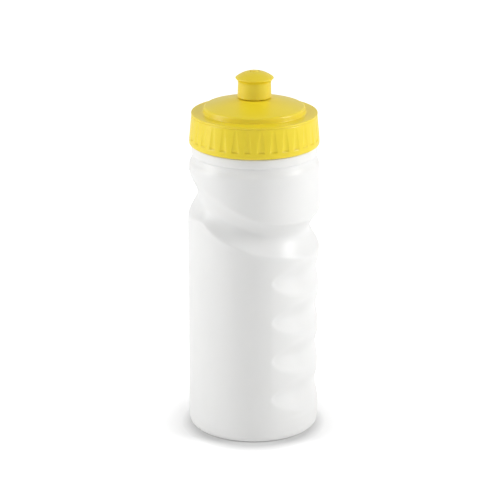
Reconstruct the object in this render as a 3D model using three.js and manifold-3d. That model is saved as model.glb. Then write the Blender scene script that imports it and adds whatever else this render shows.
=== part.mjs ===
// Sports squeeze bottle: a blow-moulded bottle body, a screw cap with its spout
// post, a sealing ring inside the cap, and a push-pull nozzle on the post.
// Millimetres, +Z up, origin at the centre of the base. The front faces -Y.
// Directions round the bottle are azimuths in degrees: 0 is the front, 90 is +X.
import * as THREE from 'three';
import { mergeVertices } from 'three/addons/utils/BufferGeometryUtils.js';
import Module from 'manifold-3d';

const wasm = await Module();
wasm.setup();

// ---- body ---------------------------------------------------------------
const bodyRadius = 35.5;
const bodyWall = 1.2;
const baseCorner = 4;
const standingRingWidth = 3;
const pushUpHeight = 3;
const drumTopHeight = 145;        // top of the upper drum, where the shoulder starts
const drumTopInset = 0.35;        // how much narrower the drum is at its top
const drumSwell = 0.34;           // fuller at its top over the groove's high side
const shoulderRise = 7.5;         // from the drum's top up to the notch
const bodySides = 40;

// ---- slanted thumb groove -------------------------------------------------
const grooveDrop = 22.1;          // its mean centre line below the drum's top
const grooveDepth = 5.5;
const grooveSlant = 10;           // how far it rises and falls round the body
const grooveLowAzimuth = 62;      // where it is lowest
const grooveLower = 9.4;          // half-width below the centre line at its waist
const grooveLowerSwell = 0.7;     // how much wider that is on the low side
const grooveUpper = 9.4;          // half-width above the centre line at its waist
const grooveUpperSwell = 1;       // how much wider that is on the high side
const groovePower = 1.5;          // of its section: 1 is a sharp V, 2 is a round bowl
const grooveWaist = 8;            // azimuth of its waist, in front
const grooveFlare = 2.8;          // how much wider each half is at the bottle's sides
const grooveSag = 1.1;            // the waist hangs this much below the plain slant
const grooveSagReach = 20;        // degrees round from the waist

// ---- finger grips -----------------------------------------------------------
const gripCount = 4;
const gripDrop = 33.1;            // top grip's centre below the groove's
const gripFootHeight = 23.5;      // lowest grip's centre above the ground
const gripLand = 1.7;             // left between two grips
const gripHalfAngle = 46;
const gripAzimuth = 62;
const gripDepth = 1.4;
const gripRelief = 1.1;           // the whole grip panel is sunk this much
const gripTilt = 0.027;           // fall in millimetres for each degree round

// ---- neck and its thread ---------------------------------------------------
const notchDepth = 0.95;          // how far the notch cuts in under the neck ring
const neckRingHeight = 5;
const neckRingOverhang = 4.1;     // how far the ring stands out of the neck
const neckRadius = 29.4;
const neckWall = 1.8;
const neckHeight = 13.7;          // from the ring's top to the mouth
const threadLead = 4.5;           // rise in one turn, right-handed, one start
const threadTurns = 1.5;
const threadHeight = 1.3;
const threadWidth = 1.9;
const threadStart = 3.4;          // first turn's centre above the ring's top
const threadClearance = 0.5;      // radial, crest to root
const touchGap = 0.3;             // between faces that rest on each other

// ---- screw cap ---------------------------------------------------------------
const capWallBottom = 2.75;
const capLeadIn = 0.8;            // flare at the foot of the bore
const capSkirtTaper = 1.35;       // how much narrower the skirt is at its top
const capPlate = 1.8;
const capShoulder = 2.2;          // rounding at the top of the skirt
const capLowerGap = 0.4;          // under the skirt, above the neck ring
const discInset = 3.9;            // disc's foot inside the cap's bore
const discLean = 0.7;             // its wall leans in this much
const discHeight = 3.2;           // raised disc above the collar
const discCone = 4.1;             // its top rises this much to the spout
const discThickness = 2.2;
const fluteCount = 32;
const fluteWidth = 4.2;
const fluteDepth = 0.6;
const fluteBand = 3.2;            // plain band below the flutes
const fluteLength = 10.6;
const capSides = 64;

// ---- seal -------------------------------------------------------------------
const sealThickness = 1;
const sealInset = 1.4;            // seal's bore inside the neck's bore

// ---- spout post, pin and nozzle ------------------------------------------------
const postRadius = 6.7;
const postWall = 1.8;
const postBeadHeight = 0.55;
const postBeadLength = 1.3;
const postTip = 0.8;              // above its bead
const pinRadius = 2.2;
const spokeThickness = 1.2;
const spokeHeight = 2.5;
const nozzleTravel = 5.5;
const nozzleStopLead = 0.2;       // post bead's slope starts this much before the stop
const nozzleWall = 1.2;
const nozzleStemFlare = 0.25;     // stem is this much wider at its foot
const nozzleRimOverhang = 1.45;
const nozzleHeight = 14.4;        // from its foot to the top of its dome
const nozzleRimHeight = 10.5;     // from its foot to the rim's widest line
const nozzleDome = 3.6;           // height of the domed top
const nozzleBeadLength = 1.3;
const nozzleRoof = 2;             // thickness of the dome at its hole
const roundSides = 40;

// ---- heights and radii that follow -----------------------------------------
const grooveHeight = drumTopHeight - grooveDrop;
const gripTopHeight = grooveHeight - gripDrop;
const gripPitch = (gripTopHeight - gripFootHeight) / (gripCount - 1);
const gripHalfHeight = (gripPitch - gripLand) / 2;
const gripTop = gripTopHeight + gripHalfHeight - 1;
const grooveFoot = grooveHeight - grooveLower - grooveLowerSwell - grooveFlare;
const grooveHead = grooveHeight + grooveUpper + grooveUpperSwell + grooveFlare;
const notchHeight = drumTopHeight + shoulderRise;
const ringTop = notchHeight + 1.1 + neckRingHeight;
const neckRingRadius = neckRadius + neckRingOverhang;
const notchRadius = neckRingRadius - notchDepth;
const neckBore = neckRadius - neckWall;
const mouthHeight = ringTop + neckHeight;
const sealBottom = mouthHeight + touchGap;
const ceiling = sealBottom + sealThickness + touchGap;
const capBottom = ringTop + capLowerGap;
const capBore = neckRadius + threadHeight + threadClearance;
const capFootRadius = capBore + capWallBottom + capLeadIn;
const collarTop = ceiling + capPlate;
const discRadius = capBore - discInset;
const discTopRadius = discRadius - discLean;
const discRim = collarTop + discHeight;
const discTop = discRim + discCone + 0.5;
const nozzleFoot = discTop + touchGap;
const postBeadFoot = nozzleFoot + nozzleBeadLength + nozzleTravel - nozzleStopLead;
const postTop = postBeadFoot + postBeadLength + postTip;
const postBore = postRadius - postWall;
const nozzleTop = nozzleFoot + nozzleHeight;
const pinHole = pinRadius + touchGap;
const nozzleBeadBore = postRadius + touchGap;
const nozzleBore = postRadius + postBeadHeight + touchGap;
const nozzleStemTop = nozzleBore + nozzleWall;
const nozzleStemBottom = nozzleStemTop + nozzleStemFlare;
const nozzleRimRadius = nozzleStemTop + nozzleRimOverhang;

const point = (r, z) => new THREE.Vector2(r, z);
const radians = THREE.MathUtils.degToRad;
const clamp = THREE.MathUtils.clamp;

/** A closed indexed geometry with merged corners, no slivers, and its faces outward. */
function tidySolid(geometry) {
  const bare = geometry.clone();
  bare.deleteAttribute('normal');
  bare.deleteAttribute('uv');
  const merged = mergeVertices(bare, 1e-4);
  const index = merged.index.array;
  const p = merged.attributes.position;
  const corners = [];
  let volume = 0;
  const [a, b, c] = [new THREE.Vector3(), new THREE.Vector3(), new THREE.Vector3()];
  for (let i = 0; i < index.length; i += 3) {
    const [ia, ib, ic] = index.slice(i, i + 3);
    if (ia === ib || ib === ic || ia === ic) continue;
    corners.push(ia, ib, ic);
    a.fromBufferAttribute(p, ia);
    b.fromBufferAttribute(p, ib);
    c.fromBufferAttribute(p, ic);
    volume += a.dot(b.cross(c));
  }
  if (volume < 0) corners.reverse();
  merged.setIndex(corners);
  return merged;
}

/** A manifold solid from a three.js geometry. */
function toManifold(geometry) {
  const solid = tidySolid(geometry);
  const vertProperties = new Float32Array(solid.attributes.position.array);
  const triVerts = new Uint32Array(solid.index.array);
  return new wasm.Manifold(new wasm.Mesh({ numProp: 3, vertProperties, triVerts }));
}

/** A three.js geometry from a manifold solid. */
function fromManifold(solid) {
  const mesh = solid.getMesh();
  const geometry = new THREE.BufferGeometry();
  geometry.setAttribute('position', new THREE.BufferAttribute(mesh.vertProperties, 3));
  geometry.setIndex(new THREE.BufferAttribute(mesh.triVerts, 1));
  return geometry;
}

/** A profile of radius and height points turned about +Z. */
function turned(profile, sides) {
  const geometry = new THREE.LatheGeometry(profile, sides, 0, Math.PI * 2);
  geometry.rotateX(Math.PI / 2);
  return geometry;
}

/** The profile with its first point repeated, for a shape that closes on itself. */
const closed = (profile) => [...profile, profile[0].clone()];

/** Points on an arc about a centre, angles in degrees from the outward radius. */
function arc(r, z, radius, from, to, steps) {
  return Array.from({ length: steps + 1 }, (_, i) => {
    const angle = radians(from + ((to - from) * i) / steps);
    return point(r + radius * Math.cos(angle), z + radius * Math.sin(angle));
  });
}

/** How deep a grip's section is at a distance, 1 at its centre and 0 at its edge. */
function dip(distance, halfWidth, power) {
  const share = clamp(Math.abs(distance) / halfWidth, 0, 1);
  return Math.cos((share * Math.PI) / 2) ** power;
}

/** 1 on the side where the slanted groove is lowest, -1 on the opposite side. */
const lowSide = (azimuth) => Math.cos(radians(azimuth - grooveLowAzimuth));

/** How far the slanted groove's centre line is above its mean height. */
function grooveRise(azimuth) {
  const sag = grooveSag * Math.exp(-(((azimuth - grooveWaist) / grooveSagReach) ** 2));
  return -grooveSlant * lowSide(azimuth) - sag;
}

/** Depth of the thumb groove at an azimuth and height. */
function grooveAt(azimuth, z) {
  const away = z - grooveHeight - grooveRise(azimuth);
  const flare = grooveFlare * Math.sin(radians(azimuth - grooveWaist)) ** 4;
  const below = grooveLower + grooveLowerSwell * lowSide(azimuth) + flare;
  const above = grooveUpper - grooveUpperSwell * lowSide(azimuth) + flare;
  const share = clamp(Math.abs(away) / (away < 0 ? below : above), 0, 1);
  return grooveDepth * (1 - share ** groovePower);
}

/** Depth of the four finger grips and of their sunk panel at an azimuth and height. */
function gripsAt(azimuth, z) {
  const turn = THREE.MathUtils.euclideanModulo(azimuth - gripAzimuth + 180, 360) - 180;
  const across = turn / gripHalfAngle;
  if (Math.abs(across) >= 1) return 0;
  const room = 1 - across * across;
  const panelMiddle = gripTopHeight - ((gripCount - 1) * gripPitch) / 2;
  const panelHalf = (gripCount * gripPitch) / 2 + 1;
  let depth = gripRelief * room * dip(z - panelMiddle, panelHalf, 0.35);
  for (let i = 0; i < gripCount; i += 1) {
    const away = z - (gripTopHeight - i * gripPitch - gripTilt * turn);
    const power = away < 0 ? 1.2 : 1.8;
    depth += gripDepth * room * dip(away, gripHalfHeight * Math.sqrt(room), power);
  }
  return depth;
}

/** How much a row at this height leans with the slanted groove: 1 in it, 0 well away. */
function leanAt(z) {
  if (z < grooveFoot) return clamp(1 - (grooveFoot - z) / (grooveFoot - gripTop), 0, 1);
  return clamp(1 - (z - grooveHead) / (drumTopHeight - grooveHead), 0, 1);
}

/** Presses the groove and the grips into a turned body, and leans its rows with the groove. */
function pressIn(geometry) {
  const p = geometry.attributes.position;
  for (let i = 0; i < p.count; i += 1) {
    const [x, y, z] = [p.getX(i), p.getY(i), p.getZ(i)];
    const radius = Math.hypot(x, y);
    if (z < baseCorner || z > drumTopHeight || radius < bodyRadius / 2) continue;
    const azimuth = THREE.MathUtils.radToDeg(Math.atan2(x, -y));
    const height = z + leanAt(z) * grooveRise(azimuth);
    const swell = drumSwell * drumShare(z) * lowSide(azimuth);
    const depth = grooveAt(azimuth, height) + gripsAt(azimuth, height) + swell;
    const share = (radius - depth) / radius;
    p.setXYZ(i, x * share, y * share, height);
  }
  return geometry;
}

/** Heights of the rows on the body's side wall, close together where it is shaped. */
function wallRows() {
  const rows = [baseCorner + 0.01];
  for (let i = gripCount - 1; i >= 0; i -= 1) {
    const middle = gripTopHeight - i * gripPitch;
    for (const share of [-1, -0.75, -0.42, 0, 0.42, 0.8]) rows.push(middle + share * gripHalfHeight);
  }
  rows.push(gripTop);
  const steps = 10;
  for (let i = 0; i <= steps; i += 1) rows.push(grooveFoot + ((grooveHead - grooveFoot) * i) / steps);
  rows.push((grooveHead + drumTopHeight) / 2, drumTopHeight);
  return rows;
}

/** How far up the upper drum a height is: 0 at the groove, 1 at the drum's top. */
function drumShare(z) {
  return clamp((z - grooveHeight) / (drumTopHeight - grooveHeight), 0, 1);
}

/** Radius of the plain body at a height: straight, then a little narrower at the drum's top. */
const plainRadius = (z) => bodyRadius - drumTopInset * drumShare(z);

/** A ridge that winds up a thread, tapering to nothing at both ends. */
function threadRidge(rootRadius, outward, startHeight, turns, startAngle) {
  const [base, crest] = [threadWidth / 2, threadWidth / 4];
  const bury = 0.4;
  const profile = closed([[-bury, -base], [threadHeight, -crest], [threadHeight, crest], [-bury, base]]
    .map(([out, up]) => point(out + bury, up)));
  const columns = Math.round(turns * 28);
  const ridge = new THREE.LatheGeometry(profile, columns, 0, Math.PI * 2);
  const p = ridge.attributes.position;
  for (let i = 0; i <= columns; i += 1) {
    const share = i / columns;
    const fade = clamp(Math.min(share, 1 - share) * turns * 8, 0, 1);
    const angle = startAngle + share * turns * Math.PI * 2;
    profile.forEach((corner, j) => {
      const out = fade === 0 ? 0 : corner.x * (0.25 + 0.75 * fade);
      const radius = rootRadius + outward * (out - bury);
      const z = startHeight + (threadLead * (angle - startAngle)) / (Math.PI * 2) + corner.y * fade;
      p.setXYZ(i * profile.length + j, radius * Math.cos(angle), radius * Math.sin(angle), z);
    });
  }
  return ridge;
}

/** The blow-moulded bottle with its neck, neck ring and thread. */
function bottleBody() {
  const ringInner = bodyRadius - baseCorner - standingRingWidth;
  const inside = (radius) => radius - bodyWall;
  const shoulder = bodyRadius - drumTopInset - notchRadius;
  const outside = [
    point(0, pushUpHeight),
    point(ringInner * 0.6, pushUpHeight * 0.75),
    point(ringInner, 0),
    ...arc(bodyRadius - baseCorner, baseCorner, baseCorner, -90, 0, 4),
    ...wallRows().map((z) => point(plainRadius(z), z)),
    point(notchRadius + shoulder * 0.92, drumTopHeight + shoulderRise * 0.32),
    point(notchRadius + shoulder * 0.58, drumTopHeight + shoulderRise * 0.66),
    point(notchRadius + shoulder * 0.12, drumTopHeight + shoulderRise * 0.93),
    point(notchRadius, notchHeight),
    point(neckRingRadius - 0.25, ringTop - neckRingHeight),
    point(neckRingRadius, ringTop - neckRingHeight + 0.6),
    point(neckRingRadius, ringTop - 0.4),
    point(neckRingRadius - 0.4, ringTop),
    point(neckRadius, ringTop),
    point(neckRadius, mouthHeight - 0.6),
    point(neckRadius - 0.5, mouthHeight),
  ];
  const insideRows = wallRows().filter((_, i) => i % 2 === 1 || i > 24);
  const within = [
    point(neckBore + 0.3, mouthHeight),
    point(neckBore, mouthHeight - 0.3),
    point(neckBore, ringTop - bodyWall),
    point(inside(neckRingRadius) - 0.3, ringTop - bodyWall - 0.3),
    point(inside(neckRingRadius) - 0.2, ringTop - neckRingHeight + 1),
    point(inside(notchRadius) - 0.1, notchHeight + 0.4),
    point(inside(notchRadius + shoulder * 0.58) - 0.2, drumTopHeight + shoulderRise * 0.6),
    ...insideRows.reverse().map((z) => point(inside(plainRadius(z)), z)),
    point(inside(bodyRadius), baseCorner + 1),
    point(inside(bodyRadius) - baseCorner * 0.3, bodyWall + baseCorner * 0.35),
    point(inside(bodyRadius) - baseCorner, bodyWall + 0.1),
    point(ringInner, bodyWall + 0.3),
    point(ringInner * 0.6, pushUpHeight * 0.75 + bodyWall),
    point(0, pushUpHeight + bodyWall),
  ];
  const shell = pressIn(turned([...outside, ...within], bodySides));
  const ridge = threadRidge(neckRadius, 1, ringTop + threadStart, threadTurns, 0);
  return fromManifold(toManifold(shell).add(toManifold(ridge)));
}

/** The wedge that cuts one flute: pointed at the top, flat-ended at the bottom. */
function fluteCutter(skirtAt) {
  const foot = capBottom + fluteBand;
  const outline = new THREE.Shape([
    point(-fluteWidth / 2, 0),
    point(fluteWidth / 2, 0),
    point(0, fluteLength),
  ]);
  const wedge = new THREE.ExtrudeGeometry(outline, { depth: 2 * fluteDepth + 2, bevelEnabled: false });
  wedge.rotateX(Math.PI / 2);
  const floorTop = skirtAt(foot + fluteLength) - 0.15;
  wedge.rotateX(-Math.atan((skirtAt(foot) - fluteDepth - floorTop) / fluteLength));
  wedge.translate(0, -(skirtAt(foot) - fluteDepth), foot);
  return wedge;
}

/** The screw cap: fluted skirt, collar, raised disc, spout post with its pin, and thread. */
function screwCap() {
  const footHeight = capBottom + 1.2;
  const skirtTop = collarTop - capShoulder;
  const skirtTopRadius = capFootRadius - capSkirtTaper;
  const skirtAt = (z) => THREE.MathUtils.mapLinear(z, footHeight, skirtTop, capFootRadius, skirtTopRadius);
  const underDisc = discTopRadius - discThickness;
  const profile = closed([
    point(capFootRadius - 0.5, capBottom),
    point(capFootRadius - 0.1, capBottom + 0.4),
    point(capFootRadius, footHeight),
    ...arc(skirtTopRadius - capShoulder, skirtTop, capShoulder, 0, 90, 4),
    point(discRadius + 0.4, collarTop),
    point(discRadius, collarTop + 0.2),
    point(discTopRadius + 0.2, discRim - 0.7),
    point(discTopRadius - 0.1, discRim - 0.1),
    point(discTopRadius - 0.7, discRim + 0.1),
    point(nozzleStemBottom + 0.6, discTop - 0.1),
    point(postRadius, discTop),
    point(postRadius, postBeadFoot),
    point(postRadius + postBeadHeight, postBeadFoot + 0.6),
    point(postRadius + postBeadHeight, postBeadFoot + postBeadLength),
    point(postRadius - 0.3, postTop),
    point(postBore + 0.4, postTop),
    point(postBore, postTop - 0.4),
    point(postBore, discTop - discThickness + 0.6),
    point(postBore + 0.6, discTop - discThickness),
    point(underDisc, discRim - discThickness + 0.2),
    point(underDisc, ceiling),
    point(capBore, ceiling),
    point(capBore, capBottom + 1.5),
    point(capBore + capLeadIn, capBottom),
  ]);
  let cap = toManifold(turned(profile, capSides));
  for (let i = 0; i < fluteCount; i += 1) {
    const cutter = fluteCutter(skirtAt).rotateZ(((i + 0.5) * Math.PI * 2) / fluteCount);
    cap = cap.subtract(toManifold(cutter));
  }
  const pin = turned([
    point(0, postTop - spokeHeight - 3),
    point(pinRadius - 0.4, postTop - spokeHeight - 3),
    point(pinRadius, postTop - spokeHeight - 2.4),
    point(pinRadius, nozzleTop - 0.7),
    point(pinRadius - 0.5, nozzleTop - 0.4),
    point(0, nozzleTop - 0.25),
  ], 24);
  cap = cap.add(toManifold(pin));
  for (let i = 0; i < 3; i += 1) {
    const spoke = new THREE.BoxGeometry(postBore + 0.6 - pinRadius / 2, spokeThickness, spokeHeight);
    spoke.translate((postBore + 0.6 + pinRadius / 2) / 2, 0, postTop - 2.4 - spokeHeight / 2);
    cap = cap.add(toManifold(spoke.rotateZ(radians(30 + i * 120))));
  }
  const between = threadStart - threadLead / 2;
  const lift = Math.ceil((threadWidth / 2 + 0.6 + capLowerGap - between) / threadLead * 8) / 8;
  const ridge = threadRidge(capBore, -1, ringTop + between + lift * threadLead, threadTurns - 0.2,
    lift * Math.PI * 2);
  return fromManifold(cap.add(toManifold(ridge)));
}

/** The flat sealing ring between the cap and the neck's mouth. */
function capSeal() {
  const [inner, outer] = [neckBore - sealInset, capBore - touchGap];
  const profile = closed([
    point(inner, sealBottom),
    point(outer - 0.2, sealBottom),
    point(outer, sealBottom + 0.2),
    point(outer, sealBottom + sealThickness),
    point(inner, sealBottom + sealThickness),
  ]);
  return tidySolid(turned(profile, roundSides));
}

/** The push-pull nozzle: stem, rim and domed top with the drinking hole. */
function pushPullNozzle() {
  const rim = nozzleFoot + nozzleRimHeight;
  const domeFoot = nozzleTop - nozzleDome;
  const domeEdge = nozzleRimRadius - 0.15;
  const domeRadius = (domeEdge ** 2 + nozzleDome ** 2) / (2 * nozzleDome);
  const domeAt = (r) => nozzleTop - domeRadius + Math.sqrt(domeRadius ** 2 - r ** 2);
  const domeSteps = 5;
  const dome = Array.from({ length: domeSteps + 1 }, (_, i) => {
    const r = domeEdge + ((pinHole - domeEdge) * i) / domeSteps;
    return point(r, domeAt(r));
  });
  const profile = closed([
    point(nozzleStemBottom - 0.4, nozzleFoot),
    point(nozzleStemBottom, nozzleFoot + 0.4),
    point(nozzleStemTop, rim - 2.9),
    point(nozzleStemTop + 0.25, rim - 1.5),
    point(nozzleRimRadius - 0.15, rim - 0.3),
    point(nozzleRimRadius, Math.min(rim, domeFoot - 0.15)),
    ...dome,
    point(pinHole, nozzleTop - nozzleRoof),
    point(nozzleBore - 0.1, rim - 0.7),
    point(nozzleBore, rim - 1.1),
    point(nozzleBore, nozzleFoot + nozzleBeadLength + 0.5),
    point(nozzleBeadBore, nozzleFoot + nozzleBeadLength),
    point(nozzleBeadBore, nozzleFoot + 0.3),
    point(nozzleBeadBore + 0.3, nozzleFoot),
  ]);
  return tidySolid(turned(profile, roundSides));
}

/** A named mesh with its own plastic. */
function piece(name, geometry, color, roughness) {
  const material = new THREE.MeshStandardMaterial({ color, roughness, metalness: 0 });
  const mesh = new THREE.Mesh(geometry, material);
  mesh.name = name;
  return mesh;
}

const milkyWhite = 0xe9e9e7;
const yellow = 0xe3c433;
const group = new THREE.Group();
group.add(
  piece('bottle_body', bottleBody(), milkyWhite, 0.42),
  piece('screw_cap', screwCap(), yellow, 0.48),
  piece('cap_seal', capSeal(), 0xd9d9d4, 0.6),
  piece('push_pull_nozzle', pushPullNozzle(), yellow, 0.45),
);

export default group;
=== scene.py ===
"""A sports squeeze bottle: milky blow-moulded body, fluted yellow screw cap, seal and push-pull nozzle.

Everything is in metres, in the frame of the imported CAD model, with the front towards -Y. Directions round the
bottle are azimuths in degrees: 0 is the front and 90 is +X.
"""

from __future__ import annotations

import logging
import math
from dataclasses import dataclass, field
from enum import Enum

import bpy
import numpy as np
from mathutils import Matrix, Vector


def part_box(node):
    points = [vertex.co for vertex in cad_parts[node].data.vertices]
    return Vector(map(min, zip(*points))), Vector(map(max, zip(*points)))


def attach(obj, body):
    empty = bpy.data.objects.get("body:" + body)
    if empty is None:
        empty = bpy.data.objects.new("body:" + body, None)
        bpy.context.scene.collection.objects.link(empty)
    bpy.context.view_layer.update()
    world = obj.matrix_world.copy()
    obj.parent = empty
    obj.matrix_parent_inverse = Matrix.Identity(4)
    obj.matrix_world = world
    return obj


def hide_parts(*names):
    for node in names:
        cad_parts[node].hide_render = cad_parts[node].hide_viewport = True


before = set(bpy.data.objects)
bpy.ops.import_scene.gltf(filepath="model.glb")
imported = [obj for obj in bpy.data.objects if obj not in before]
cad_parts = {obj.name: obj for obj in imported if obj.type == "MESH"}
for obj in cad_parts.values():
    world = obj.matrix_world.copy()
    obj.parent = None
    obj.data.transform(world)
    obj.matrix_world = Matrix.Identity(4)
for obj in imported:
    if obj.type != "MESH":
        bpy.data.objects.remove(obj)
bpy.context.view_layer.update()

log = logging.getLogger("squeeze_bottle")

MM = 0.001

# What a node's input can be fed with: another node's output, or a plain value.
Feed = bpy.types.NodeSocket | float | tuple[float, ...]


class Body(Enum):
    """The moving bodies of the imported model."""

    BOTTLE = "bottle"
    SEAL = "seal"
    CAP = "cap"
    NOZZLE = "nozzle"


class Slot(Enum):
    """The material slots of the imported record."""

    BODY = "body_plastic"
    CAP = "cap_plastic"
    SEAL = "seal_foam"
    NOZZLE = "nozzle_plastic"


# --------------------------------------------------------------------------------------------------
# Surfaces made of rings
# --------------------------------------------------------------------------------------------------


# How a corner is rounded: the points along it, the share of a neighbouring side that it may take up, and the
# reach below which it stays sharp.
ROUNDING_POINTS = 5
ROUNDING_ROOM = 0.45
SHARP_REACH = 0.02 * MM


@dataclass(frozen=True)
class Corner:
    """One corner of a turned profile: its radius, its height and the reach of its rounding."""

    r: float
    z: float
    rounding: float = 0.0


def rounded_profile(corners: list[Corner], spacing: float, loop: bool = True) -> np.ndarray:
    """Samples a profile with rounded corners.

    Args:
        corners: The corners in order.
        spacing: The greatest distance between points on the straight stretches.
        loop: Whether the last corner joins the first.

    Returns:
        Points as rows of radius and height.
    """
    points: list[np.ndarray] = []
    count = len(corners)
    for i, corner in enumerate(corners):
        here = np.array((corner.r, corner.z))
        if not loop and i in (0, count - 1):
            points.append(here)
            continue
        before = np.array((corners[i - 1].r, corners[i - 1].z))
        after_corner = corners[(i + 1) % count]
        after = np.array((after_corner.r, after_corner.z))
        to_before, to_after = before - here, after - here
        room = ROUNDING_ROOM * min(np.linalg.norm(to_before), np.linalg.norm(to_after))
        reach = min(corner.rounding, room)
        if reach < SHARP_REACH:
            points.append(here)
            continue
        start = here + to_before / np.linalg.norm(to_before) * reach
        end = here + to_after / np.linalg.norm(to_after) * reach
        for share in np.linspace(0.0, 1.0, ROUNDING_POINTS):
            points.append((1 - share) ** 2 * start + 2 * share * (1 - share) * here + share**2 * end)
    dense: list[np.ndarray] = []
    ends = points[1:] + ([points[0]] if loop else [])
    for start, end in zip(points, ends):
        steps = max(1, math.ceil(float(np.linalg.norm(end - start)) / spacing))
        dense.extend(start + (end - start) * step / steps for step in range(steps))
    if not loop:
        dense.append(points[-1])
    return np.array(dense)


def place_rings(radius: np.ndarray, height: np.ndarray, azimuth: np.ndarray) -> np.ndarray:
    """Turns radius, height and azimuth arrays, in degrees, into points of x, y and z."""
    turn = np.radians(azimuth)
    return np.stack(np.broadcast_arrays(radius * np.sin(turn), -radius * np.cos(turn), height), axis=-1)


def loft(name: str, rings: np.ndarray, loop: bool = False) -> bpy.types.Object:
    """Sews rings of points into one closed surface.

    Args:
        name: The object's name.
        rings: An array of rows, columns and x, y, z.
        loop: Whether the last ring joins the first. Otherwise both end rings are closed at their centres.

    Returns:
        The new object, smooth shaded, in the scene.
    """
    rows, columns = rings.shape[:2]
    vertices = rings.reshape(-1, 3)
    i, j = np.meshgrid(np.arange(rows if loop else rows - 1), np.arange(columns), indexing="ij")
    up, side = (i + 1) % rows, (j + 1) % columns
    quads = np.stack((i * columns + j, i * columns + side, up * columns + side, up * columns + j), -1)
    faces = quads.reshape(-1, 4).tolist()
    if not loop:
        first, last = len(vertices), len(vertices) + 1
        vertices = np.vstack((vertices, rings[0].mean(axis=0), rings[-1].mean(axis=0)))
        top = (rows - 1) * columns
        faces += [[first, (k + 1) % columns, k] for k in range(columns)]
        faces += [[last, top + k, top + (k + 1) % columns] for k in range(columns)]
    mesh = bpy.data.meshes.new(name)
    mesh.from_pydata(vertices.tolist(), [], faces)
    mesh.validate()
    mesh.shade_smooth()
    piece = bpy.data.objects.new(name, mesh)
    bpy.context.scene.collection.objects.link(piece)
    return piece


def join(name: str, parts: list[bpy.types.Object]) -> bpy.types.Object:
    """Joins objects into the first one.

    Args:
        name: The joined object's name.
        parts: The objects to join.

    Returns:
        The joined object.
    """
    with bpy.context.temp_override(active_object=parts[0], selected_editable_objects=parts):
        bpy.ops.object.join()
    parts[0].name = name
    parts[0].data.name = name
    return parts[0]


def smooth_steps(value: np.ndarray, low: float, high: float) -> np.ndarray:
    """0 below low, 1 above high, and a smooth step between."""
    share = np.clip((value - low) / (high - low), 0.0, 1.0)
    return share * share * (3.0 - 2.0 * share)


def blur_rows(surface: np.ndarray, spacing: float, sigma: float) -> np.ndarray:
    """Blurs an array along its rows.

    Args:
        surface: Values by row and column, rows at even heights.
        spacing: The distance between two rows.
        sigma: The reach of the blur.

    Returns:
        The blurred array.
    """
    reach = max(1, int(3 * sigma / spacing))
    offsets = np.arange(-reach, reach + 1)
    weights = np.exp(-0.5 * (offsets * spacing / sigma) ** 2)
    weights /= weights.sum()
    padded = np.pad(surface, ((reach, reach), (0, 0)), mode="edge")
    return sum(w * padded[k : k + len(surface)] for k, w in enumerate(weights))


@dataclass(frozen=True)
class Thread:
    """A single-start right-handed thread: a ridge that winds up and tapers out at both ends."""

    start_height: float
    start_azimuth: float
    turns: float
    lead: float = 4.5 * MM
    height: float = 1.3 * MM
    width: float = 1.9 * MM
    fade_turns: float = 0.12
    crest_share: float = 0.22

    def ridge(self, azimuth: np.ndarray, z: np.ndarray) -> np.ndarray:
        """How far the ridge stands out at each azimuth and height.

        Args:
            azimuth: Azimuths in degrees.
            z: Heights, in an array of the same shape.

        Returns:
            The ridge's height over its root.
        """
        out = np.zeros(np.broadcast(azimuth, z).shape)
        share = np.mod((azimuth - self.start_azimuth) / 360.0, 1.0)
        for lap in range(math.ceil(self.turns) + 1):
            along = share + lap
            fade = smooth_steps(np.minimum(along, self.turns - along), 0.0, self.fade_turns)
            away = np.abs(z - self.start_height - along * self.lead)
            flank = 1.0 - smooth_steps(away, self.crest_share * self.width, 0.5 * self.width)
            out = np.maximum(out, self.height * fade * flank)
        return out


# --------------------------------------------------------------------------------------------------
# Shader node groups and finishes
# --------------------------------------------------------------------------------------------------


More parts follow.
